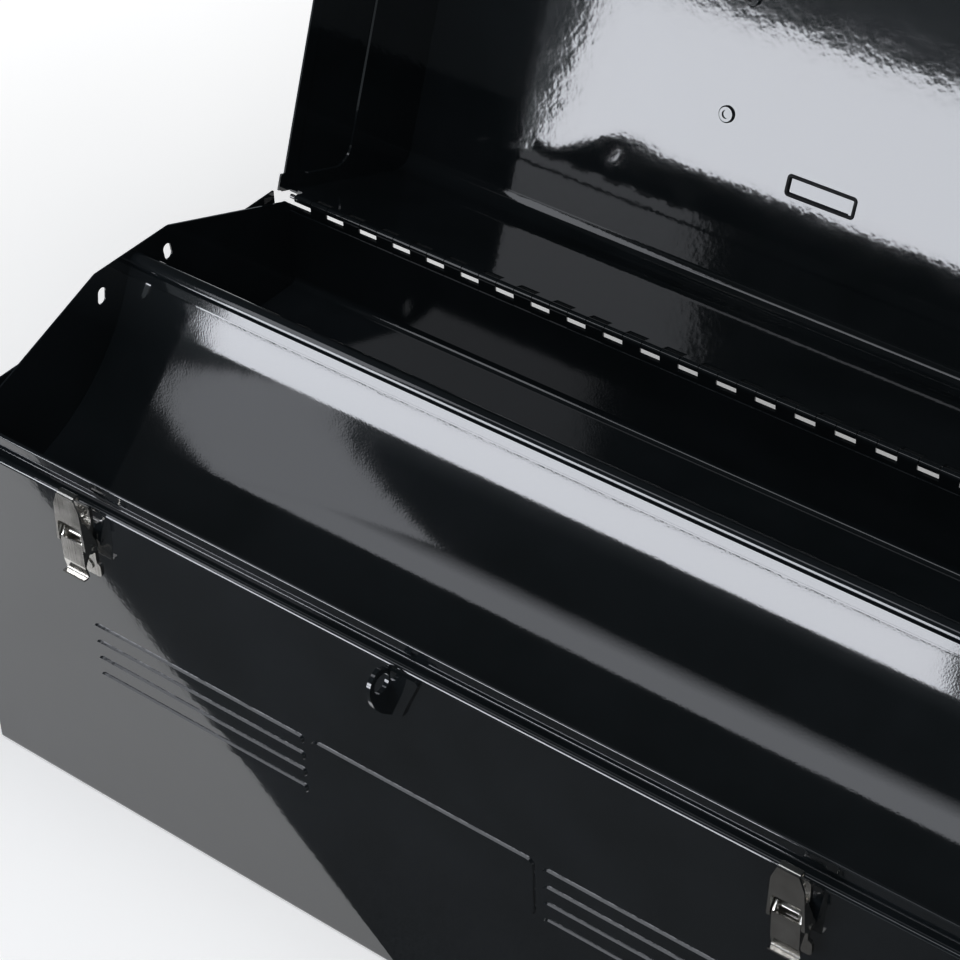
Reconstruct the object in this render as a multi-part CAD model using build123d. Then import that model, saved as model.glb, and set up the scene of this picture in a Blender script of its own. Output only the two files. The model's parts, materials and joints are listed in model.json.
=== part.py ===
from build123d import *
import os

os.makedirs("parts", exist_ok=True)

# ---------------------------------------------------------------- driving dimensions (mm)
# Frame: origin at the centre of the chest's underside, +X to the right, +Y to the back, +Z up.
LENGTH = 652.0              # outside length of chest and lid
DEPTH = 280.0               # outside depth, front face to back face
LEDGE_Z = 231.0             # height of the ledge that carries the lid's rim
SHEET = 1.2                 # chest and lid sheet steel
LID_HEIGHT = 125.5          # lid, rim to top
LID_OPEN_DEG = 110.6        # how far the lid stands open at rest
LID_RIM_GAP = 0.6           # closed lid's rim above the ledge

# joggled rim of the chest
FRONT_STEP = 7.0            # ledge width on the front
END_STEP = 4.5              # ledge width on the ends
FRONT_LIP = 11.2            # lip above the ledge, front
END_LIP = 15.0              # lip above the ledge, ends
HEM = 6.5                   # folded-over height of the front lip
HEM_PITCH = 1.3             # mid-line distance between the two layers of a hem
END_LIP_BACK_Y = 126.0      # where the end lip stops, short of the hinge
END_NOTCH_Z = 227.7         # floor of the notch that the lid's tab swings through
HEM_NOTCH = (-5.0, 6.0, 3.2)  # the gap in the front hem: both ends and its height

# piano hinge
KNUCKLE_PITCH = 25.4        # two knuckles, one of each leaf
KNUCKLE_LENGTH = 12.2
KNUCKLE_R = 2.5
PIN_R = 1.35
PIN_HOLE_R = 1.40
HINGE_LENGTH = 640.0
HINGE_SHEET = 1.0
LID_KNUCKLES = 25
KNUCKLE_PHASE = -4.55       # centre of the lid's middle knuckle; the strip is cut from stock
NOTCH_DROP = 5.7            # slot depth measured from the pin's axis
LEAF_WIDTH = 24.0
AXIS_Z = LEDGE_Z + 4.0
AXIS_Y = DEPTH / 2 - SHEET - HINGE_SHEET + KNUCKLE_R

# embossed front
RIB_PITCH = 12.0
RIB_HEIGHT = 6.4
RIB_X = (77.5, 228.5)       # inner and outer end of the ribs, each side
RIB_TOP_Z = 141.0           # centre of the top rib
RIBS = 4
EMBOSS = 1.1
BADGE = (145.0, 41.0, 5.0)  # width, height, corner radius of the blank raised panel
BADGE_Z = 125.0

# padlock ears
EAR_X = -14.0
EAR_SHEET = 2.4
EAR_FOOT_Z = 196.0          # lowest point of the ears, at the wall
EAR_REACH = 17.6            # furthest point from the front
EAR_FLANGE = [(-13.0, 197.5), (-7.0, 198.5), (-3.8, 207.0), (2.4, 221.0), (5.6, 228.6), (-13.0, 228.6)]
EAR_HOLE_R = 5.6
EAR_HOLE = (8.4, 223.5)     # out from the front face, height
EAR_GAP = 0.6               # between the lid's ear, on the left, and the chest's
LID_EAR_FOOT_Z = 205.0
LID_EAR_TOP = 259.0
LID_EAR_WIDTH = 20.0        # its riveted foot, to the left
LID_EAR_RIVETS = (13.5, 23.0)  # above the ledge

# tote tray
TRAY_Y = 2.6                # the tray's middle, between front lip and hinge leaf
TRAY_HALF = 131.0
TRAY_SHEET = 1.0
TRAY_END_X = 316.0          # outer face of the tray's end panels
TRAY_FLOOR = 179.0
TRAY_WALL_TOP = 230.5
HIP_TOP = 275.0
HIP_TOP_HALF = 30.0
HIP_LOW = 238.0
HIP_LOW_HALF = 128.0
BEAD_R = 5.2                # tray ridge's rolled bead
BEAD_Z = 266.5
NECK_Z = 260.9              # where both sheets run into the bead
TROUGH_R = 128.0            # the front trough's one broad sweep, floor to ridge
SWEEP_CORNER_Y = -37.0      # where the sweep's two tangents meet, from the tray's middle
NECK_FRONT = -5.0
NECK_REAR = 7.2
FOLD_R = 5.0
REST_X = 14.0

# lid details
LID_HEM = 9.0
TOP_BEND = 12.0
CAP_PANEL = (262.0, 9.0, 62.5, 14.0)   # width, lower and upper edge above the rim, corner radius
STAMP = (44.0, 13.4, 2.5)   # small raised rectangle under the lid's top
STAMP_AT = (-39.0, 61.4)    # its place in the closed lid, x and y
HANDLE_RIVET = (109.0, 34.8)  # half spacing of the four rivets, x and y
HANDLE_RIVET_R = 5.2

# draw latches; (out from the front face, height) of the two pivots
LATCH_X = 223.5
LATCH_SHEET = 1.1
LEVER_PIVOT = (6.0, 214.0)
STRAP_PIVOT = (3.9, 206.5)
LATCH_PIN_R = 1.5
EAR_INNER = 5.2             # inner faces of the base's ears, the lever's and the strap's cheeks
LEVER_INNER = 6.7
STRAP_INNER = 8.4
STRAP_FACE = 10.0           # strap's plate, inner face
STRAP_TOP = 243.0
STRAP_FOOT = 209.0
STRAP_HALF = 10.4
HOOK_HALF = 5.8
HOOK_TIP = 5.8              # how near the hook's tip comes to the front
WINDOW_TOP = 223.0          # the strap is open below this, so that the lever can swing through
LEVER_FACE = 9.6
LEVER_TOP = 212.0
LEVER_FOOT = 188.0
CATCH_Z = 233.0

# rivets
RIVET_SHANK_R = 2.0
RIVET_HEAD_R = 3.4
RIVET_HEAD = 1.2
FIT = 0.03                  # clearance of shanks and pins in their holes

# handle
HANDLE_ROD_R = 3.2
HANDLE_REACH = 42.0
GRIP_R = 9.0
GRIP_LENGTH = 118.0
BRACKET_SHEET = 1.6
BRACKET_WIDTH = 20.0

HALF = LENGTH / 2
FRONT = -DEPTH / 2
BACK = DEPTH / 2
RIM_Z = LEDGE_Z + LID_RIM_GAP
LID_TOP = RIM_Z + LID_HEIGHT
HANDLE_PIVOT_Z = LID_TOP + HANDLE_ROD_R + 0.45
SIDES = {"left": -1, "right": 1}


# ---------------------------------------------------------------- shared operations
def section_along_x(face, x0, x1):
    """A Y-Z section carried along X."""
    return extrude(Plane.YZ.offset(x0) * face, amount=x1 - x0)


def section_along_y(face, y0, y1):
    """An X-Z section carried along Y."""
    turned = Plane(origin=(0, y0, 0), x_dir=(1, 0, 0), z_dir=(0, -1, 0))
    return extrude(turned * face, amount=y0 - y1)


def bent_sheet(points, radii, thickness):
    """The section of a folded sheet whose middle follows the points."""
    return make_face(thick_outline(FilletPolyline(*points, radius=radii), thickness))


def thick_outline(path, thickness):
    """Both faces of a sheet that follows an open path, closed across its two edges."""
    left = offset_2d_side(path, thickness / 2)
    right = offset_2d_side(path, -thickness / 2)
    caps = [Line(left @ 0, right @ 0), Line(left @ 1, right @ 1)]
    return Wire(left.edges() + right.edges() + ShapeList(caps))


def offset_2d_side(path, distance):
    """A path's parallel at a distance, each arc and line moved sideways by its own normal."""
    moved = []
    for edge in path.edges():
        start, end = edge @ 0, edge @ 1
        across_start = (edge % 0).cross(Vector(0, 0, 1)) * distance
        across_end = (edge % 1).cross(Vector(0, 0, 1)) * distance
        if edge.geom_type == GeomType.LINE:
            moved.append(Line(start + across_start, end + across_end))
        else:
            middle = edge @ 0.5
            across_middle = (edge % 0.5).cross(Vector(0, 0, 1)) * distance
            moved.append(ThreePointArc(start + across_start, middle + across_middle, end + across_end))
    return Wire(ShapeList(e for m in moved for e in m.edges()))


def block(x, y, z):
    """A box between two corners."""
    return Pos((x[0] + x[1]) / 2, (y[0] + y[1]) / 2, (z[0] + z[1]) / 2) * Box(
        x[1] - x[0], y[1] - y[0], z[1] - z[0]
    )


def rod_x(x0, x1, y, z, radius):
    """A round bar along X."""
    return Pos((x0 + x1) / 2, y, z) * Rot(0, 90, 0) * Cylinder(radius, x1 - x0)


def write(node, shape):
    """One file for one piece."""
    shape.label = node
    export_step(shape, f"parts/{node}.step")


def opened(shape):
    """A piece of the closed lid, turned to where the lid stands at rest."""
    hinge_axis = Axis((0, AXIS_Y, AXIS_Z), (1, 0, 0))
    return shape.rotate(hinge_axis, -LID_OPEN_DEG)


def pressed(sheet, outline, inner_outline, plane, height):
    """A shape pressed out of a sheet: raised on the plane's side and hollow behind it."""
    raised = extrude(plane * outline, amount=height, taper=30)
    hollow = extrude(plane.offset(-SHEET) * inner_outline, amount=height, taper=30)
    return sheet + raised - hollow


# ---------------------------------------------------------------- chest body
def chest_wrap():
    """Front, bottom and back folded from one sheet, with the joggled and hemmed front rim."""
    half = SHEET / 2
    lip_y = FRONT + FRONT_STEP + half
    lip_top = LEDGE_Z + FRONT_LIP - half
    path = [
        (lip_y - HEM_PITCH, lip_top - HEM),
        (lip_y - HEM_PITCH, lip_top),
        (lip_y, lip_top),
        (lip_y, LEDGE_Z - half),
        (FRONT + half, LEDGE_Z - half),
        (FRONT + half, half),
        (BACK - half, half),
        (BACK - half, AXIS_Z - NOTCH_DROP),
    ]
    section = bent_sheet(path, [0.64, 0.64, 1.4, 2.0, 3.0, 3.0], SHEET)
    lip_half = HALF - END_STEP - SHEET - 0.4
    wrap = section_along_x(section, -HALF, HALF)
    for side in SIDES.values():
        wrap -= block(
            sorted((side * lip_half, side * (HALF + 1))),
            (lip_y - half, lip_y + 3),
            (LEDGE_Z - SHEET - 0.02, LEDGE_Z + FRONT_LIP + 1),
        )
        wrap -= block(
            sorted((side * lip_half, side * (HALF + 1))),
            (lip_y - half - HEM_PITCH - 1, lip_y),
            (LEDGE_Z + 1, LEDGE_Z + FRONT_LIP + 1),
        )
    wrap = emboss_front(wrap)
    left, right, height = HEM_NOTCH
    hem_foot = lip_top - HEM
    wrap -= block((left, right), (lip_y - HEM_PITCH - 1, lip_y - HEM_PITCH / 2), (hem_foot - 1, hem_foot + height))
    return drilled(wrap, chest_front_rivets())


def emboss_front(wrap):
    """Four ribs each side of the blank raised panel."""
    plane = Plane(origin=(0, FRONT, 0), x_dir=(1, 0, 0), z_dir=(0, -1, 0))
    length = RIB_X[1] - RIB_X[0]
    middle = (RIB_X[0] + RIB_X[1]) / 2
    for side in SIDES.values():
        for row in range(RIBS):
            place = Pos(side * middle, RIB_TOP_Z - row * RIB_PITCH)
            rib = place * SlotOverall(length, RIB_HEIGHT)
            groove = place * SlotOverall(length - SHEET, RIB_HEIGHT - SHEET)
            wrap = pressed(wrap, rib, groove, plane, EMBOSS)
    width, height, corner = BADGE
    panel = Pos(0, BADGE_Z) * RectangleRounded(width, height, corner)
    recess = Pos(0, BADGE_Z) * RectangleRounded(width - SHEET, height - SHEET, corner)
    return pressed(wrap, panel, recess, plane, EMBOSS)


def chest_end(side):
    """End panel with its bottom flange, ledge and lip."""
    half = SHEET / 2
    wall_x = HALF - half
    flange = 13.0
    low = 2 * SHEET - half + 0.05
    lip_x = HALF - END_STEP - half
    path = [
        (side * (wall_x - flange), low),
        (side * wall_x, low),
        (side * wall_x, LEDGE_Z - half),
        (side * lip_x, LEDGE_Z - half),
        (side * lip_x, LEDGE_Z + END_LIP),
    ]
    section = bent_sheet(path, [2.0, 1.4, 1.4], SHEET)
    inner = BACK - SHEET - 0.05
    panel = section_along_y(section, -inner, inner)
    inside_wrap = make_face(Polyline((-inner, 0), (inner, 0), (inner, LEDGE_Z), (-inner, LEDGE_Z), close=True))
    inside_wrap = Pos(0, SHEET + 0.05) * fillet(inside_wrap.vertices().filter_by(lambda v: v.Y < 1), 2.5)
    above = make_face(Polyline((-inner, LEDGE_Z - 9), (inner, LEDGE_Z - 9), (inner, LEDGE_Z + 30),
                               (-inner + 6, LEDGE_Z + 30), (-inner + 6, LEDGE_Z - 1.2), (-inner + 1.4, LEDGE_Z - 1.2),
                               (-inner, LEDGE_Z - 2.6), close=True))
    panel &= section_along_x(inside_wrap + above, -HALF - 1, HALF + 1)
    behind_front_ledge = block(
        sorted((side * (lip_x - 2), side * (HALF + 1))),
        (-inner - 1, FRONT + FRONT_STEP + 0.1),
        (LEDGE_Z - SHEET - 0.05, LEDGE_Z + END_LIP + 1),
    )
    by_the_hinge = block(
        sorted((side * (lip_x - 2), side * (HALF + 1))),
        (END_LIP_BACK_Y, BACK + 1),
        (END_NOTCH_Z, LEDGE_Z + END_LIP + 1),
    )
    return panel - behind_front_ledge - by_the_hinge


def tray_rest(side):
    """Angle welded inside the end panel; the tray's end stands on it."""
    wall = HALF - SHEET - 0.05
    top = TRAY_FLOOR - TRAY_SHEET - 0.15
    shelf = block(sorted((side * (wall - REST_X), side * wall)), (-120, 120), (top - 1.5, top))
    leg = block(sorted((side * (wall - 1.5), side * wall)), (-120, 120), (top - 18, top))
    return shelf + leg


def padlock_ear(x_middle, foot, near, top):
    """A rounded plate standing square to the front, bored for the padlock."""
    hip = (0.46 * EAR_REACH, foot + 7.0)
    tip = (EAR_REACH, EAR_HOLE[1] - 1.0)
    crown = (0.5 * EAR_REACH, LEDGE_Z + 2.2)
    belly_z = 0.35 * hip[1] + 0.65 * tip[1]
    outline = [
        Line((near, top), (near, foot)),
        Line((near, foot), hip),
        ThreePointArc(hip, (0.92 * EAR_REACH, belly_z), tip),
        ThreePointArc(tip, (0.85 * EAR_REACH, LEDGE_Z - 1.0), crown),
        Line(crown, (near, top)),
    ]
    face = make_face(outline) - Pos(*EAR_HOLE) * Circle(EAR_HOLE_R)
    upright = Plane(origin=(x_middle + EAR_SHEET / 2, FRONT, 0), x_dir=(0, -1, 0), z_dir=(-1, 0, 0))
    return extrude(upright * face, amount=EAR_SHEET)


def chest_ear():
    """The chest's ear and the foot that it is bent from; above the ledge it clears the lid."""
    ear = padlock_ear(EAR_X, EAR_FOOT_Z, 0.0, LEDGE_Z - 2.5)
    flange = make_face(Polyline(*EAR_FLANGE, close=True))
    flange = fillet(flange.vertices().filter_by(lambda v: v.X > EAR_X + 3), 2.0)
    plane = Plane(origin=(0, FRONT, 0), x_dir=(1, 0, 0), z_dir=(0, -1, 0))
    return ear + extrude(plane * flange, amount=EAR_SHEET)


def lid_ear():
    """The lid's ear hangs from its riveted foot beside the chest's ear, holes in line."""
    middle = EAR_X - EAR_SHEET - EAR_GAP
    left, right = middle - EAR_SHEET / 2, middle + EAR_SHEET / 2
    near = 1.0
    neck = 2.6
    foot_low = RIM_Z + 2.5
    ear = padlock_ear(middle, LID_EAR_FOOT_Z, near, LEDGE_Z + 2.0)
    ear += block((left, right), (FRONT - neck, FRONT), (foot_low, LID_EAR_TOP))
    ear += block((left, right), (FRONT - neck, FRONT - near), (LEDGE_Z - 6, foot_low))
    ear += block((right - LID_EAR_WIDTH, right), (FRONT - LATCH_SHEET, FRONT), (foot_low, LID_EAR_TOP))
    return opened(drilled(ear, lid_front_rivets()))


# ---------------------------------------------------------------- piano hinge
def knuckle_centres(offset):
    """Centres of one leaf's knuckles, in the hinge's length."""
    first = -(LID_KNUCKLES // 2) - 1
    last = LID_KNUCKLES // 2 + 1
    places = [KNUCKLE_PHASE + (k + offset) * KNUCKLE_PITCH for k in range(first, last + 1)]
    limit = HINGE_LENGTH / 2 - KNUCKLE_LENGTH / 2
    return [x for x in places if abs(x) <= limit]


def hinge_leaf(own, upward):
    """One leaf: a flat strip with tongues rolled into knuckles, open between them for the other leaf."""
    inner_y = BACK - SHEET - HINGE_SHEET
    near = AXIS_Z + upward * NOTCH_DROP
    far = AXIS_Z + upward * LEAF_WIDTH
    leaf = block((-HINGE_LENGTH / 2, HINGE_LENGTH / 2), (inner_y, inner_y + HINGE_SHEET), sorted((near, far)))
    tongue = Pos(inner_y + HINGE_SHEET / 2, (near + AXIS_Z) / 2) * Rectangle(HINGE_SHEET, NOTCH_DROP)
    rolled = Pos(AXIS_Y, AXIS_Z) * Circle(KNUCKLE_R) + tongue
    rolled -= Pos(AXIS_Y, AXIS_Z) * Circle(PIN_HOLE_R)
    for x in own:
        leaf += section_along_x(rolled, x - KNUCKLE_LENGTH / 2, x + KNUCKLE_LENGTH / 2)
    return leaf


def chest_hinge_leaf():
    return hinge_leaf(knuckle_centres(0.5), -1)


def lid_hinge_leaf():
    return opened(hinge_leaf(knuckle_centres(0), 1))


def hinge_pin():
    return rod_x(-HINGE_LENGTH / 2, HINGE_LENGTH / 2, AXIS_Y, AXIS_Z, PIN_R)


# ---------------------------------------------------------------- lid
def lid_wrap():
    """Front, top and back of the lid, folded from one sheet with broad top bends."""
    half = SHEET / 2
    path = [
        (FRONT + half + HEM_PITCH, RIM_Z + LID_HEM),
        (FRONT + half + HEM_PITCH, RIM_Z + half),
        (FRONT + half, RIM_Z + half),
        (FRONT + half, LID_TOP - half),
        (BACK - half, LID_TOP - half),
        (BACK - half, AXIS_Z + NOTCH_DROP),
    ]
    section = bent_sheet(path, [0.64, 0.64, TOP_BEND, TOP_BEND], SHEET)
    wrap = section_along_x(section, -HALF, HALF)
    x, y = STAMP_AT
    plane = Plane(origin=(0, 0, LID_TOP), x_dir=(1, 0, 0), z_dir=(0, 0, 1))
    width, height, corner = STAMP
    stamp = Pos(x, y) * RectangleRounded(width, height, corner)
    recess = Pos(x, y) * RectangleRounded(width - SHEET, height - SHEET, corner - SHEET / 2)
    wrap = pressed(wrap, stamp, recess, plane, 0.9)
    return opened(drilled(wrap, lid_front_rivets() + handle_rivet_holes()))


def lid_end(side):
    """End cap with its pressed panel, rounded like the wrap, with a tab beside the hinge."""
    inner = BACK - SHEET - 0.05
    top = LID_TOP - SHEET - 0.05
    bend = TOP_BEND - SHEET / 2 - 0.05
    outline = make_face(Polyline((-inner, RIM_Z), (inner, RIM_Z), (inner, top), (-inner, top), close=True))
    upper = outline.vertices().filter_by(lambda v: v.Y > RIM_Z + 1)
    outline = fillet(upper, bend)
    tab = Pos(inner - 6.1, RIM_Z - 1.6) * Rectangle(10.2, 3.4)
    hem = Pos(-inner, RIM_Z) * Rectangle(2 * HEM_PITCH + 0.2, 2 * LID_HEM + 1.4)
    outline = outline + tab - hem
    x0, x1 = sorted((side * (HALF - SHEET), side * HALF))
    panel = section_along_x(outline, x0, x1)
    width, low, high, corner = CAP_PANEL
    middle = RIM_Z + (low + high) / 2
    shape = Pos(0, middle) * RectangleRounded(width, high - low, corner)
    inside = Pos(0, middle) * RectangleRounded(width - 2, high - low - 2, corner - 1)
    plane = Plane(origin=(side * HALF, 0, 0), x_dir=(0, side, 0), z_dir=(side, 0, 0))
    return opened(pressed(panel, shape, inside, plane, EMBOSS))


def handle_bracket(side):
    """Strap arched over the handle's end, riveted through the lid's top at both feet."""
    bore = HANDLE_ROD_R + 0.06
    outer = bore + BRACKET_SHEET
    foot = HANDLE_RIVET[1] + 9.0
    pivot = HANDLE_PIVOT_Z
    arch = Pos(0, pivot) * Circle(outer) + Pos(0, (pivot + LID_TOP) / 2) * Rectangle(2 * outer, pivot - LID_TOP)
    feet = Pos(0, LID_TOP + BRACKET_SHEET / 2) * Rectangle(2 * foot, BRACKET_SHEET)
    section = arch + feet
    section -= Pos(0, pivot) * Circle(bore) + Pos(0, pivot - 10) * Rectangle(2 * bore, 20)
    section -= Pos(0, LID_TOP - 20) * Rectangle(4 * foot, 40)
    x = side * HANDLE_RIVET[0]
    strap = section_along_x(section, x - BRACKET_WIDTH / 2, x + BRACKET_WIDTH / 2)
    return opened(drilled(strap, handle_rivet_holes()))


# ---------------------------------------------------------------- rivets
def drilled(shape, holes):
    for hole in holes:
        shape -= hole
    return shape


def front_rivet_places(lid):
    """Where fittings are riveted to the front: x and height."""
    if lid:
        across = [(side * LATCH_X + step, CATCH_Z + 14.0) for side in (-1, 1) for step in (-4.2, 4.2)]
        return across + [(EAR_X - 14.5, LEDGE_Z + above) for above in LID_EAR_RIVETS]
    return [(side * LATCH_X, z) for side in (-1, 1) for z in (LEVER_FOOT + 1.5, STRAP_TOP - 17.0)]


def front_shank(x, z, radius):
    return Pos(x, FRONT, z) * Rot(90, 0, 0) * Cylinder(radius, 2 * SHEET + 2 * LATCH_SHEET - 1.0)


def chest_front_rivets():
    return [front_shank(x, z, RIVET_SHANK_R + FIT) for x, z in front_rivet_places(False)]


def lid_front_rivets():
    return [front_shank(x, z, RIVET_SHANK_R + FIT) for x, z in front_rivet_places(True)]


def handle_rivet_places():
    across, along = HANDLE_RIVET
    return [(x, y) for x in (-across, across) for y in (-along, along)]


def handle_rivet_holes():
    return [Pos(x, y, LID_TOP) * Cylinder(RIVET_SHANK_R + FIT, 8.0) for x, y in handle_rivet_places()]


def front_rivets(lid, side=0):
    """Flat-headed rivets through a fitting and the sheet, upset inside."""
    rivets = []
    for x, z in front_rivet_places(lid):
        if x * side < 0:
            continue
        outside = FRONT - LATCH_SHEET
        inside = FRONT + SHEET
        head = Pos(x, outside - 0.4, z) * Rot(90, 0, 0) * Cylinder(RIVET_HEAD_R, 0.8)
        upset = Pos(x, inside + 0.4, z) * Rot(90, 0, 0) * Cylinder(RIVET_HEAD_R - 0.6, 0.8)
        rivets.append(head + front_shank(x, z, RIVET_SHANK_R) + upset)
    return Compound(rivets)


def handle_rivets():
    """Domed heads on the brackets, rolled rings inside the lid."""
    rivets = []
    for x, y in handle_rivet_places():
        over = LID_TOP + BRACKET_SHEET
        under = LID_TOP - SHEET
        head = Pos(x, y, over + RIVET_HEAD / 2) * Cylinder(HANDLE_RIVET_R, RIVET_HEAD)
        shank = Pos(x, y, (over + under) / 2) * Cylinder(RIVET_SHANK_R, over - under + 0.4)
        ring = Pos(x, y, under - 0.8) * Cylinder(HANDLE_RIVET_R, 1.6)
        ring = chamfer(ring.edges().filter_by(GeomType.CIRCLE).sort_by(Axis.Z)[:1], 0.8)
        eye = Pos(x, y, under - 1.2) * Cylinder(HANDLE_RIVET_R / 2, 1.2)
        rivets.append(opened(head + shank + ring - eye))
    return Compound(rivets)


# ---------------------------------------------------------------- handle
def hanging(shape):
    """A piece of the handle, modelled flat on the closed lid, hung straight down from the open lid."""
    swing_axis = Axis((0, 0, HANDLE_PIVOT_Z), (1, 0, 0))
    off_the_lid = LID_OPEN_DEG - 90
    return opened(shape.rotate(swing_axis, off_the_lid))


def handle_bail():
    """Round bar bent to a bail whose ends turn under the brackets."""
    end = HANDLE_RIVET[0] + BRACKET_WIDTH / 2 + 3.0
    arm = HANDLE_RIVET[0] - BRACKET_WIDTH / 2 - 8.5
    path = FilletPolyline(
        (-end, 0, HANDLE_PIVOT_Z),
        (-arm, 0, HANDLE_PIVOT_Z),
        (-arm, HANDLE_REACH, HANDLE_PIVOT_Z),
        (arm, HANDLE_REACH, HANDLE_PIVOT_Z),
        (arm, 0, HANDLE_PIVOT_Z),
        (end, 0, HANDLE_PIVOT_Z),
        radius=7.0,
    )
    start = Plane(origin=path @ 0, z_dir=path % 0)
    return hanging(sweep(start * Circle(HANDLE_ROD_R), path=path))


def handle_grip():
    """Moulded grip on the bail's cross bar, waisted for the fingers."""
    half = GRIP_LENGTH / 2
    bore = HANDLE_ROD_R + 0.05
    profile = make_face(
        Polyline((-half, bore), (-half, GRIP_R - 1.5), (1.5 - half, GRIP_R), (0, GRIP_R - 1.0),
                 (half - 1.5, GRIP_R), (half, GRIP_R - 1.5), (half, bore), close=True)
    )
    grip = revolve(profile, Axis.X)
    return hanging(Pos(0, HANDLE_REACH, HANDLE_PIVOT_Z) * grip)


# ---------------------------------------------------------------- tote tray
def tray_trough():
    """Both troughs and the beaded ridge between them, folded from one sheet."""
    edge = TRAY_HALF - TRAY_SHEET / 2
    floor = TRAY_FLOOR - TRAY_SHEET / 2
    top = TRAY_WALL_TOP
    front = [(-edge, top), (-edge, floor), (SWEEP_CORNER_Y, floor), (NECK_FRONT, NECK_Z)]
    rear = [(NECK_REAR, NECK_Z), (NECK_REAR, floor), (edge, floor), (edge, top)]
    front_sheet = bent_sheet(front, [FOLD_R, TROUGH_R], TRAY_SHEET)
    rear_sheet = bent_sheet(rear, [3.0, FOLD_R], TRAY_SHEET)
    bead_middle = (NECK_FRONT + NECK_REAR) / 2 + 0.9
    inside = TRAY_END_X - TRAY_SHEET - 0.05
    section = Pos(TRAY_Y, 0) * (front_sheet + rear_sheet + rolled_bead(bead_middle))
    return section_along_x(section, -inside, inside)


def rolled_bead(middle):
    """The ridge's rolled edge: an open roll whose sides run down to both sheets."""
    half = TRAY_SHEET / 2
    roll = Pos(middle, BEAD_Z) * Circle(BEAD_R)
    hollow = Pos(middle, BEAD_Z) * Circle(BEAD_R - TRAY_SHEET)
    low = NECK_Z - 0.2
    sides = Polyline((NECK_FRONT - half, low), (NECK_REAR + half, low), (middle + 4.2, BEAD_Z),
                     (middle - 4.4, BEAD_Z), close=True)
    between = Polyline((NECK_FRONT + half, low - 1), (NECK_REAR - half, low - 1), (middle + 3.3, BEAD_Z),
                       (middle - 3.5, BEAD_Z), close=True)
    return roll + make_face(sides) - make_face(between) - hollow


def tray_end(side):
    """Hipped end panel with two slots and an outward flange along its foot."""
    base = TRAY_FLOOR - TRAY_SHEET
    outline = make_face(
        Polyline(
            (-TRAY_HALF, base),
            (TRAY_HALF, base),
            (TRAY_HALF, HIP_LOW - 4),
            (HIP_LOW_HALF, HIP_LOW),
            (HIP_TOP_HALF, HIP_TOP),
            (-HIP_TOP_HALF, HIP_TOP),
            (-HIP_LOW_HALF, HIP_LOW),
            (-TRAY_HALF, HIP_LOW - 4),
            close=True,
        )
    )
    top_corners = outline.vertices().filter_by(lambda v: v.Y > HIP_LOW + 5)
    outline = fillet(top_corners, 7.0)
    slots = Sketch() + [
        Pos(mirror * 27.0, 258.8) * Rot(0, 0, mirror * 8) * SlotOverall(10.5, 6.0, rotation=90)
        for mirror in (-1, 1)
    ]
    outline -= slots
    x0, x1 = sorted((side * (TRAY_END_X - TRAY_SHEET), side * TRAY_END_X))
    plate = section_along_x(Pos(TRAY_Y, 0) * outline, x0, x1)
    lip = block(
        sorted((side * (TRAY_END_X - TRAY_SHEET), side * (TRAY_END_X + 3.6))),
        (TRAY_Y - 118, TRAY_Y + 118),
        (base, base + TRAY_SHEET),
    )
    return plate + lip


# ---------------------------------------------------------------- draw latches
def at_latch(shape, side):
    """A latch piece modelled at x = 0, moved to its place."""
    return Pos(side * LATCH_X, 0, 0) * shape


def latch_outline(points, pivots=(), corner=0.0):
    """A Y-Z outline given as (out from the front, height), bored at the pivots."""
    face = make_face(Polyline(*[(FRONT - out, z) for out, z in points], close=True))
    if corner:
        face = fillet(face.vertices(), corner)
    for out, z in pivots:
        face -= Pos(FRONT - out, z) * Circle(LATCH_PIN_R + FIT)
    return face


def both_cheeks(outline, inner):
    """The same outline as a left and a right cheek."""
    return section_along_x(outline, inner, inner + LATCH_SHEET) + section_along_x(
        outline, -inner - LATCH_SHEET, -inner
    )


def latch_base(side):
    """Riveted plate with two ears that carry the lever's pin and a wider foot."""
    top = STRAP_TOP - 12.5
    width = 2 * (EAR_INNER + LATCH_SHEET)
    plate = Pos(0, (LEVER_FOOT + top) / 2) * RectangleRounded(width, top - LEVER_FOOT, 2)
    plate += Pos(0, LEVER_FOOT) * RectangleRounded(width + 5, 9, 2.5)
    plane = Plane(origin=(0, FRONT, 0), x_dir=(1, 0, 0), z_dir=(0, -1, 0))
    plate = extrude(plane * plate, amount=LATCH_SHEET)
    out, z = LEVER_PIVOT
    ear = latch_outline(
        [(0.4, z - 6.5), (3.0, z - 4.0), (out, z - 3.4), (out + 2.9, z - 1.6), (out + 2.9, z + 1.6),
         (out, z + 3.1), (3.0, z + 3.6), (0.4, z + 6)],
        [LEVER_PIVOT],
    )
    base = at_latch(plate + both_cheeks(ear, EAR_INNER), side)
    return drilled(base, chest_front_rivets())


def latch_lever(side):
    """Over-centre lever: a channel on both pivots whose face runs down to a curled thumb tail."""
    out, z = LEVER_PIVOT
    strap_out, strap_z = STRAP_PIVOT
    skin = LEVER_FACE + LATCH_SHEET / 2
    cheek = latch_outline(
        [(skin, z - 2), (skin, LEVER_FOOT + 8), (strap_out + 2.6, strap_z - 4),
         (strap_out - 1.6, strap_z - 2.7), (strap_out - 2.5, strap_z + 0.4), (out - 2.8, z),
         (out - 1.2, z + 2.9), (out + 1.4, z + 2.9)],
        [LEVER_PIVOT, STRAP_PIVOT],
    )
    face = [
        (FRONT - skin, LEVER_TOP),
        (FRONT - skin, LEVER_FOOT + 8),
        (FRONT - skin + 1.6, LEVER_FOOT + LATCH_SHEET / 2),
        (FRONT - skin - 2.6, LEVER_FOOT + 0.9),
    ]
    half = LEVER_INNER + LATCH_SHEET
    skin_sheet = section_along_x(bent_sheet(face, [6.0, 1.2], LATCH_SHEET), -half, half)
    return at_latch(skin_sheet + both_cheeks(cheek, LEVER_INNER), side)


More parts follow.
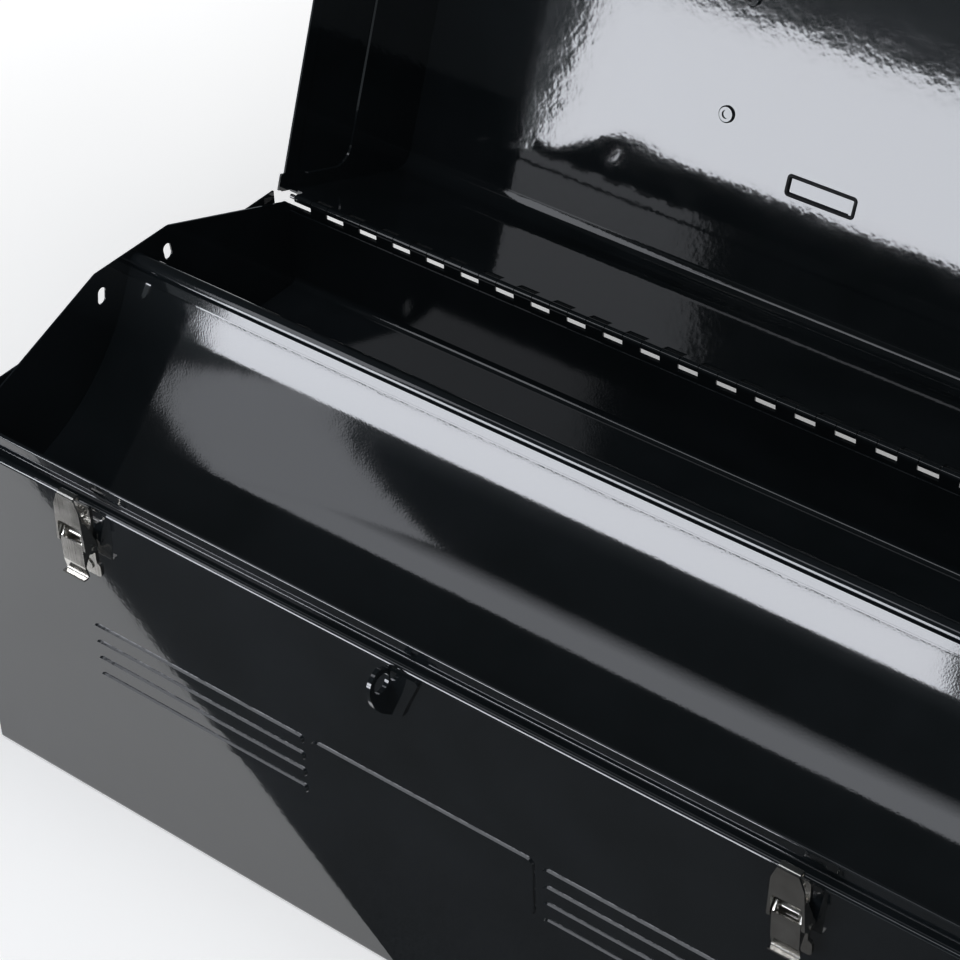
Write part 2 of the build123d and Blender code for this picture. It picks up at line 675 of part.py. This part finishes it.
def latch_strap(side):
    """Pull strap: domed plate with a window, cheeks on the lever's pin and a hook lip at the top."""
    out, z = STRAP_PIVOT
    shoulder = STRAP_TOP - 9.0
    outline = make_face(
        Polyline((-STRAP_HALF, STRAP_FOOT), (STRAP_HALF, STRAP_FOOT), (STRAP_HALF - 1.4, shoulder),
                 (HOOK_HALF, STRAP_TOP - 1.0), (-HOOK_HALF, STRAP_TOP - 1.0), (-STRAP_HALF + 1.4, shoulder),
                 close=True)
    )
    outline = fillet(outline.vertices().filter_by(lambda v: abs(v.Y - shoulder) < 1), 7.0)
    window = Pos(0, (STRAP_FOOT - 10 + WINDOW_TOP) / 2) * RectangleRounded(
        2 * STRAP_INNER, WINDOW_TOP - STRAP_FOOT + 10, 2.5
    )
    plane = Plane(origin=(0, FRONT - STRAP_FACE, 0), x_dir=(1, 0, 0), z_dir=(0, -1, 0))
    plate = extrude(plane * (outline - window), amount=LATCH_SHEET)
    skin = STRAP_FACE + LATCH_SHEET / 2
    hook = bent_sheet(
        [
            (FRONT - skin, STRAP_TOP - 6.0),
            (FRONT - skin, STRAP_TOP - LATCH_SHEET / 2),
            (FRONT - HOOK_TIP - LATCH_SHEET / 2, STRAP_TOP - LATCH_SHEET / 2),
            (FRONT - HOOK_TIP - LATCH_SHEET / 2, STRAP_TOP - 4.0),
        ],
        [2.2, 1.0],
        LATCH_SHEET,
    )
    hook = section_along_x(hook, -HOOK_HALF, HOOK_HALF)
    cheek = latch_outline(
        [(skin, STRAP_FOOT), (skin, shoulder - 6), (STRAP_FACE - 2.0, shoulder - 8), (out - 0.4, z + 8),
         (out - 2.6, z + 1.5), (out - 2.6, z - 1.8), (out - 0.8, z - 2.8), (out + 2.4, z - 2.6)],
        [STRAP_PIVOT],
    )
    return at_latch(plate + hook + both_cheeks(cheek, STRAP_INNER), side)


def latch_pin(side, pivot, half_length):
    out, z = pivot
    return rod_x(side * LATCH_X - half_length, side * LATCH_X + half_length, FRONT - out, z, LATCH_PIN_R)


def latch_catch(side):
    """Strike on the lid's front that the strap's hook pulls against."""
    path = [
        (FRONT - LATCH_SHEET / 2, CATCH_Z + 20),
        (FRONT - LATCH_SHEET / 2, CATCH_Z + LATCH_SHEET / 2),
        (FRONT - 4.4, CATCH_Z + LATCH_SHEET / 2),
        (FRONT - 4.4, CATCH_Z + 5.0),
    ]
    strike = section_along_x(bent_sheet(path, [1.0, 1.0], LATCH_SHEET), -8, 8)
    return opened(drilled(at_latch(strike, side), lid_front_rivets()))


# ---------------------------------------------------------------- write every piece
def main():
    write("chest_wrap", chest_wrap())
    write("padlock_ear_chest", chest_ear())
    write("padlock_ear_lid", lid_ear())
    write("hinge_leaf_chest", chest_hinge_leaf())
    write("hinge_leaf_lid", lid_hinge_leaf())
    write("hinge_pin", hinge_pin())
    write("lid_wrap", lid_wrap())
    write("lid_front_rivets", opened(front_rivets(True)))
    write("handle_rivets", handle_rivets())
    write("handle_bail", handle_bail())
    write("handle_grip", handle_grip())
    write("tray_trough", tray_trough())
    for name, side in SIDES.items():
        write(f"chest_end_{name}", chest_end(side))
        write(f"tray_rest_{name}", tray_rest(side))
        write(f"lid_end_{name}", lid_end(side))
        write(f"handle_bracket_{name}", handle_bracket(side))
        write(f"tray_end_{name}", tray_end(side))
        write(f"latch_base_{name}", latch_base(side))
        write(f"latch_rivets_{name}", front_rivets(False, side))
        write(f"latch_lever_{name}", latch_lever(side))
        write(f"latch_strap_{name}", latch_strap(side))
        write(f"lever_pin_{name}", latch_pin(side, LEVER_PIVOT, LEVER_INNER + LATCH_SHEET + 0.3))
        write(f"strap_pin_{name}", latch_pin(side, STRAP_PIVOT, STRAP_INNER + LATCH_SHEET + 0.5))
        write(f"latch_catch_{name}", latch_catch(side))


main()
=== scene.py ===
"""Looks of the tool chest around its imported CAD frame: camera, stage, materials, added detail."""
import json
import math

import bmesh
import bpy
from mathutils import Matrix, Vector


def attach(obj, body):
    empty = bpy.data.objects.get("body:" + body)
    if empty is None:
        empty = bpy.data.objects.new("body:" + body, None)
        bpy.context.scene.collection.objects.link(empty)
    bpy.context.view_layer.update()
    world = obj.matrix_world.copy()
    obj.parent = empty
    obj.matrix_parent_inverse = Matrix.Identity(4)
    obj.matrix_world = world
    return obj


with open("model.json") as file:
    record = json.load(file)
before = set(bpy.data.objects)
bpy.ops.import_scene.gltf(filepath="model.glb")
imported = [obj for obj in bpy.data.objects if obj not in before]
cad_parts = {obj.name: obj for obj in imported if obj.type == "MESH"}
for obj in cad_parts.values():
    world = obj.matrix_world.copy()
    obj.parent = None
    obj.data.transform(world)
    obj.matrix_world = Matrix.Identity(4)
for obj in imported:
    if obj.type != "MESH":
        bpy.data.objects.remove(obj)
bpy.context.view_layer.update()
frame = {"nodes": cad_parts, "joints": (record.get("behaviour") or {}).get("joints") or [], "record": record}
nodes = frame["nodes"]


# ---------------------------------------------------------------- camera
CAMERA_AT = (0.6695, -0.9000, 1.1712)
CAMERA_AZIMUTH = 39.31
CAMERA_ELEVATION = 39.04
CAMERA_ROLL = -2.21
FOCAL_MM = 106.43


def make_camera():
    azimuth, elevation, roll = (math.radians(a) for a in (CAMERA_AZIMUTH, CAMERA_ELEVATION, CAMERA_ROLL))
    forward = Vector((-math.sin(azimuth) * math.cos(elevation), math.cos(azimuth) * math.cos(elevation),
                      -math.sin(elevation)))
    level_right = Vector((math.cos(azimuth), math.sin(azimuth), 0))
    level_up = level_right.cross(forward)
    right = level_right * math.cos(roll) + level_up * math.sin(roll)
    up = level_up * math.cos(roll) - level_right * math.sin(roll)
    data = bpy.data.cameras.new("photo_camera")
    data.lens = FOCAL_MM
    data.sensor_width = 36.0
    data.clip_start = 0.05
    data.clip_end = 80.0
    camera = bpy.data.objects.new("photo_camera", data)
    bpy.context.scene.collection.objects.link(camera)
    turn = Matrix((right, up, -forward)).transposed().to_4x4()
    camera.matrix_world = Matrix.Translation(CAMERA_AT) @ turn
    bpy.context.scene.camera = camera


make_camera()


# ---------------------------------------------------------------- node helpers
class Tree:
    """The node tree of a new material or of the world, with short calls for adding and linking nodes."""

    def __init__(self, name=None, world=None):
        self.material = world or bpy.data.materials.new(name)
        self.material.use_nodes = True
        self.tree = self.material.node_tree
        self.tree.nodes.clear()

    def add(self, kind, inputs=None, **settings):
        node = self.tree.nodes.new(kind)
        for key, value in settings.items():
            setattr(node, key, value)
        for key, value in (inputs or {}).items():
            if isinstance(value, bpy.types.NodeSocket):
                self.tree.links.new(value, node.inputs[key])
            else:
                node.inputs[key].default_value = value
        return node

    def math(self, operation, a, b=0.0, clamp=False):
        node = self.add("ShaderNodeMath", {0: a, 1: b}, operation=operation, use_clamp=clamp)
        return node.outputs[0]

    def ramp(self, fac, stops):
        node = self.add("ShaderNodeValToRGB", {"Fac": fac})
        ramp = node.color_ramp
        while len(ramp.elements) < len(stops):
            ramp.elements.new(0.5)
        for element, (at, colour) in zip(ramp.elements, stops):
            element.position = at
            element.color = (*colour, 1.0)
        return node.outputs["Color"]

    def grey(self, fac, stops):
        return self.ramp(fac, [(at, (value,) * 3) for at, value in stops])

    def position(self):
        return self.add("ShaderNodeTexCoord").outputs["Object"]

    def along(self, axis):
        return self.add("ShaderNodeSeparateXYZ", {0: self.position()}).outputs[axis]

    def noise(self, scale, detail=2.0, roughness=0.5, vector=None):
        inputs = {"Scale": scale, "Detail": detail, "Roughness": roughness}
        inputs["Vector"] = self.position() if vector is None else vector
        return self.add("ShaderNodeTexNoise", inputs).outputs["Fac"]

    def stretched(self, scale):
        return self.add("ShaderNodeMapping", {"Vector": self.position(), "Scale": scale}).outputs[0]

    def bump(self, height, strength, distance, normal=None):
        inputs = {"Height": height, "Strength": strength, "Distance": distance}
        if normal is not None:
            inputs["Normal"] = normal
        return self.add("ShaderNodeBump", inputs).outputs[0]

    def seen_past_camera(self):
        """1 for rays from the camera, from a mirror or through glass, 0 for those that light things."""
        path = self.add("ShaderNodeLightPath").outputs
        either = self.math("MAXIMUM", path["Is Camera Ray"], path["Is Glossy Ray"])
        return self.math("MAXIMUM", either, path["Is Transmission Ray"])

    def finish(self, shader, kind="ShaderNodeOutputMaterial"):
        output = self.add(kind)
        self.tree.links.new(shader, output.inputs["Surface"])
        return self.material


# ---------------------------------------------------------------- materials
ENAMEL_DARK = (0.0042, 0.0056, 0.0064)
ENAMEL_LIGHT = (0.0076, 0.0094, 0.0112)


def black_enamel(name, peel_scale, peel_height, ripple_height, roughness):
    """Gloss black baked enamel: fine orange peel over a slow ripple, faint haze, uneven gloss."""
    t = Tree(name)
    normal = t.bump(t.noise(70.0, 1.0, 0.4), 1.0, ripple_height)
    normal = t.bump(t.noise(peel_scale, 1.2, 0.45), 1.0, peel_height, normal)
    colour = t.ramp(t.noise(14.0, 4.0, 0.6), [(0.3, ENAMEL_DARK), (0.75, ENAMEL_LIGHT)])
    rough = t.grey(t.noise(34.0, 3.0, 0.6), [(0.3, roughness), (0.8, roughness * 1.5)])
    shader = t.add("ShaderNodeBsdfPrincipled", {
        "Base Color": colour, "Roughness": rough, "IOR": 1.62, "Normal": normal,
        "Coat Weight": 0.5, "Coat Roughness": 0.04, "Coat Normal": normal})
    return t.finish(shader.outputs[0])


def nickel():
    """Bright nickel plate over stamped steel, with faint draw lines and dull patches."""
    t = Tree("nickel")
    streaks = t.noise(900.0, 2.0, 0.5, t.stretched((1.0, 1.0, 0.03)))
    cloud = t.noise(60.0, 4.0, 0.6)
    colour = t.ramp(cloud, [(0.3, (0.60, 0.58, 0.54)), (0.7, (0.80, 0.78, 0.74))])
    rough = t.grey(cloud, [(0.3, 0.14), (0.75, 0.26)])
    normal = t.bump(streaks, 0.12, 0.0002)
    shader = t.add("ShaderNodeBsdfPrincipled", {
        "Base Color": colour, "Metallic": 1.0, "Roughness": rough, "Normal": normal})
    return t.finish(shader.outputs[0])


def drawn_steel():
    """Drawn wire: fine lines along its length."""
    t = Tree("drawn_steel")
    streaks = t.noise(2500.0, 2.0, 0.5, t.stretched((0.02, 1.0, 1.0)))
    colour = t.ramp(streaks, [(0.3, (0.30, 0.30, 0.30)), (0.7, (0.46, 0.45, 0.44))])
    rough = t.grey(streaks, [(0.3, 0.30), (0.7, 0.42)])
    shader = t.add("ShaderNodeBsdfPrincipled", {"Base Color": colour, "Metallic": 1.0, "Roughness": rough})
    return t.finish(shader.outputs[0])


def grip_plastic():
    """Moulded black grip with a fine leather grain."""
    t = Tree("grip_plastic")
    normal = t.bump(t.noise(700.0, 2.0, 0.5), 0.25, 0.0004)
    colour = t.ramp(t.noise(25.0, 3.0, 0.5), [(0.3, (0.010, 0.010, 0.011)), (0.7, (0.020, 0.020, 0.021))])
    rough = t.grey(t.noise(40.0, 3.0, 0.5), [(0.3, 0.40), (0.7, 0.52)])
    shader = t.add("ShaderNodeBsdfPrincipled", {"Base Color": colour, "Roughness": rough, "Normal": normal})
    return t.finish(shader.outputs[0])


BODY_ENAMEL = black_enamel("enamel_body", 330.0, 0.000014, 0.00004, 0.05)
LID_ENAMEL = black_enamel("enamel_lid", 260.0, 0.000020, 0.00004, 0.05)
TRAY_ENAMEL = black_enamel("enamel_tray", 900.0, 0.000008, 0.00002, 0.05)
MATERIALS = {"enamel": BODY_ENAMEL, "nickel": nickel(), "steel": drawn_steel(), "grip": grip_plastic()}


def dress_nodes():
    slots = {s["node"]: s["material_slot"] for s in frame["record"]["subparts"]}
    for name, node in nodes.items():
        material = MATERIALS[slots[name]]
        enamelled = slots[name] == "enamel"
        if name == "handle_rivets" or (enamelled and name.startswith("lid_")):
            material = LID_ENAMEL
        if enamelled and name.startswith("tray_") and "rest" not in name:
            material = TRAY_ENAMEL
        node.data.materials.clear()
        node.data.materials.append(material)


dress_nodes()


# ---------------------------------------------------------------- added detail on the lid
LID_HINGE = next(joint for joint in frame["joints"] if joint["name"] == "lid_hinge")
LID_OPEN = math.radians(-LID_HINGE["range_deg"][1])
LID_INSIDE_Z = 0.3559
STAMP_MIDDLE = (-0.0372, 0.0615)
STAMP_HALF = (0.0225, 0.0056)
STAMP_CORNER = 0.0016
STAMP_BEAD = 0.0012
BEAD_SIDES = 10
CORNER_STEPS = 6
QUADRANTS = ((1, 1), (-1, 1), (-1, -1), (1, -1))


def opened(point):
    """A point of the shut lid, moved to where the open lid carries it."""
    hinge = Matrix.Translation(LID_HINGE["pos_m"])
    return hinge @ Matrix.Rotation(LID_OPEN, 4, "X") @ hinge.inverted() @ Vector(point)


def rounded_outline(middle, half, corner):
    """Points and outward directions round a rectangle with rounded corners."""
    points = []
    for turn, (sx, sy) in enumerate(QUADRANTS):
        for step in range(CORNER_STEPS + 1):
            angle = math.pi / 2 * (turn + step / CORNER_STEPS)
            out = (math.cos(angle), math.sin(angle))
            points.append(((middle[0] + sx * (half[0] - corner) + corner * out[0],
                            middle[1] + sy * (half[1] - corner) + corner * out[1]), out))
    return points


def stamp_bead():
    """The thick pressed outline of the blank stamp on the lid's inner face."""
    mesh = bmesh.new()
    rings = []
    for (x, y), (ox, oy) in rounded_outline(STAMP_MIDDLE, STAMP_HALF, STAMP_CORNER):
        ring = []
        for k in range(BEAD_SIDES):
            angle = 2 * math.pi * k / BEAD_SIDES
            swell = STAMP_BEAD * math.cos(angle)
            ring.append(mesh.verts.new(opened((x + ox * swell, y + oy * swell,
                                               LID_INSIDE_Z + 0.5 * STAMP_BEAD * math.sin(angle)))))
        rings.append(ring)
    for here, there in zip(rings, rings[1:] + rings[:1]):
        for k in range(BEAD_SIDES):
            after = (k + 1) % BEAD_SIDES
            mesh.faces.new((here[k], here[after], there[after], there[k]))
    bmesh.ops.recalc_face_normals(mesh, faces=mesh.faces)
    data = bpy.data.meshes.new("lid_stamp_bead")
    mesh.to_mesh(data)
    mesh.free()
    data.polygons.foreach_set("use_smooth", [True] * len(data.polygons))
    data.materials.append(stamp_paint())
    bead = bpy.data.objects.new("lid_stamp_bead", data)
    bpy.context.scene.collection.objects.link(bead)
    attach(bead, "lid")


def stamp_paint():
    """Enamel that ran thick and dull along the stamp's pressed edge."""
    t = Tree("stamp_paint")
    colour = t.ramp(t.noise(300.0, 3.0, 0.5), [(0.3, (0.004, 0.005, 0.006)), (0.7, (0.008, 0.009, 0.011))])
    rough = t.grey(t.noise(500.0, 2.0, 0.5), [(0.3, 0.40), (0.7, 0.55)])
    normal = t.bump(t.noise(900.0, 2.0, 0.5), 0.3, 0.0001)
    shader = t.add("ShaderNodeBsdfPrincipled", {"Base Color": colour, "Roughness": rough, "Normal": normal,
                                                "Specular IOR Level": 0.3})
    return t.finish(shader.outputs[0])


stamp_bead()


# ---------------------------------------------------------------- stage
FLOOR_REACH = 30.0
# glow of the floor near the chest (painted shade) and far from it (white background)
NEAR_GLOW, FAR_GLOW = 0.30, 1.0
GLOW_SPAN = 2.0


def plane_mesh(name, corners, material):
    mesh = bpy.data.meshes.new(name)
    mesh.from_pydata(corners, [], [tuple(range(len(corners)))])
    mesh.update()
    mesh.materials.append(material)
    obj = bpy.data.objects.new(name, mesh)
    bpy.context.scene.collection.objects.link(obj)
    return obj


def floor_material():
    """Pale floor whose camera and mirror glow is weaker near the chest: painted shade round the chest on top
    of its real shadow, fading to white away from it.
    """
    t = Tree("floor_paint")
    away = t.add("ShaderNodeVectorMath", {0: t.position()}, operation="LENGTH").outputs["Value"]
    # the glow falls to NEAR_GLOW close to the chest: painted shade round it
    glow = t.grey(t.math("DIVIDE", away, GLOW_SPAN), [(0.22, NEAR_GLOW), (0.75, FAR_GLOW)])
    strength = t.math("MULTIPLY", glow, t.seen_past_camera())
    tone = t.grey(t.noise(3.0, 3.0, 0.5), [(0.3, 0.80), (0.7, 0.84)])
    diffuse = t.add("ShaderNodeBsdfDiffuse", {"Color": tone})
    light = t.add("ShaderNodeEmission", {"Strength": strength})
    both = t.add("ShaderNodeAddShader", {0: diffuse.outputs[0], 1: light.outputs[0]})
    return t.finish(both.outputs[0])


def make_floor():
    r = FLOOR_REACH
    plane_mesh("floor", [(-r, -r, 0), (r, -r, 0), (r, r, 0), (-r, r, 0)], floor_material())


def panel_material(name, radiance, fade):
    """A lit panel; fade is (y where it is dark, y where it is full) or None."""
    t = Tree(name)
    strength = radiance
    if fade is not None:
        dark, full = fade
        share = t.math("DIVIDE", t.math("SUBTRACT", t.along(1), dark), full - dark, clamp=True)
        strength = t.math("MULTIPLY", share, radiance)
    return t.finish(t.add("ShaderNodeEmission", {"Color": (*COOL, 1.0), "Strength": strength}).outputs[0])


def light_panel(name, corners, radiance, fade=None):
    panel = plane_mesh(name, corners, panel_material(name, radiance, fade))
    panel.visible_camera = False
    panel.visible_shadow = False


def upright(x0, x1, y, z0, z1):
    return [(x0, y, z0), (x1, y, z0), (x1, y, z1), (x0, y, z1)]


KEY_Y = -1.2
KEY_RIGHT = -0.20
UPPER_LEFT, UPPER_BOTTOM, UPPER_TOP = -1.12, 0.275, 0.53
LOWER_LEFT, LOWER_BOTTOM, LOWER_TOP = -1.25, 0.02, 0.232
OVERHEAD_LONG = ((-1.188, -0.631), (-1.021, -1.102), (-3.646, -5.366), (-4.046, -5.595))
OVERHEAD_WIDE = ((-1.188, -0.625), (0.60, -0.625), (0.60, -1.10), (-1.021, -1.10))
OVERHEAD_FADE = (-1.10, -0.85)
OVERHEAD_Z = 1.5
KEY_RADIANCE = 8.0
OVERHEAD_RADIANCE = 1.5
COOL = (0.90, 0.93, 1.0)


def make_lights():
    upper = upright(UPPER_LEFT, KEY_RIGHT, KEY_Y, UPPER_BOTTOM, UPPER_TOP)
    lower = upright(LOWER_LEFT, KEY_RIGHT, KEY_Y, LOWER_BOTTOM, LOWER_TOP)
    long_strip = [(x, y, OVERHEAD_Z) for x, y in OVERHEAD_LONG]
    wide_strip = [(x, y, OVERHEAD_Z) for x, y in OVERHEAD_WIDE]
    light_panel("key_upper", upper, KEY_RADIANCE)
    light_panel("key_lower", lower, KEY_RADIANCE)
    light_panel("overhead_long", long_strip, OVERHEAD_RADIANCE)
    light_panel("overhead_wide", wide_strip, OVERHEAD_RADIANCE, fade=OVERHEAD_FADE)


# outline of the sheet that paints a dark reflection on the chest's front
FLAG_LIFT = 0.002
FLAG_LEFT, FLAG_CORNER, FLAG_RIGHT, FLAG_FAR = -4.0, 0.02, 4.0, -6.0
FLAG_START, FLAG_SLOPE = -0.131, 0.396


def flag_edge(x):
    """The line on the floor in front of the chest beyond which a dark sheet, seen only by mirror rays,
    paints a dark reflection on the chest's front.
    """
    return FLAG_START + FLAG_SLOPE * x


def make_dark_reflection():
    # a dark sheet on the floor that only mirror rays see: a painted dark reflection on the chest's front
    t = Tree("painted_dark_reflection")
    dark_reflection_tone = t.grey(t.noise(600.0, 2.0, 0.5), [(0.3, 0.07), (0.7, 0.11)])
    dark_reflection_material = t.finish(t.add("ShaderNodeBsdfDiffuse", {"Color": dark_reflection_tone}).outputs[0])
    outline = ((FLAG_LEFT, flag_edge(FLAG_LEFT)), (FLAG_CORNER, flag_edge(FLAG_CORNER)),
               (FLAG_RIGHT, flag_edge(FLAG_CORNER)), (FLAG_RIGHT, FLAG_FAR), (FLAG_LEFT, FLAG_FAR))
    flag = plane_mesh("front_dark_reflection", [(x, y, FLAG_LIFT) for x, y in outline], dark_reflection_material)
    flag.visible_camera = False
    flag.visible_diffuse = False
    flag.visible_shadow = False


WALL_LEVEL, CEILING_LEVEL = 0.30, 0.03


def make_world():
    world = bpy.data.worlds.new("studio")
    bpy.context.scene.world = world
    t = Tree(world=world)
    height = t.add("ShaderNodeSeparateXYZ", {0: t.add("ShaderNodeTexCoord").outputs["Generated"]}).outputs[2]
    level = t.grey(height, [(0.0, WALL_LEVEL), (0.35, CEILING_LEVEL)])
    tone = t.add("ShaderNodeMix", {0: 1.0, 6: level, 7: (0.84, 0.93, 1.0, 1.0)}, data_type="RGBA",
                 blend_type="MULTIPLY")
    room = t.add("ShaderNodeBackground", {"Color": tone.outputs[2], "Strength": 1.0})
    white = t.add("ShaderNodeBackground", {"Color": (1.0, 1.0, 1.0, 1.0), "Strength": 1.0})
    camera_ray = t.add("ShaderNodeLightPath").outputs["Is Camera Ray"]
    mix = t.add("ShaderNodeMixShader", {0: camera_ray, 1: room.outputs[0], 2: white.outputs[0]})
    t.finish(mix.outputs[0], "ShaderNodeOutputWorld")


def fill_lamp(name, at, aim, size, power):
    data = bpy.data.lights.new(name, "AREA")
    data.shape = "RECTANGLE"
    data.size, data.size_y = size
    data.energy = power
    lamp = bpy.data.objects.new(name, data)
    bpy.context.scene.collection.objects.link(lamp)
    lamp.location = at
    lamp.rotation_euler = (Vector(aim) - Vector(at)).to_track_quat("-Z", "Y").to_euler()
    lamp.visible_camera = False
    lamp.visible_glossy = False


make_floor()
make_lights()
make_dark_reflection()
make_world()
fill_lamp("fill_top", (0.3, -0.2, 2.6), (0, 0.1, 0.2), (1.8, 1.4), 20.0)
fill_lamp("fill_front", (0.9, -1.3, 1.7), (0, 0.0, 0.2), (1.0, 1.0), 14.0)
bpy.context.scene.view_settings.view_transform = "Standard"
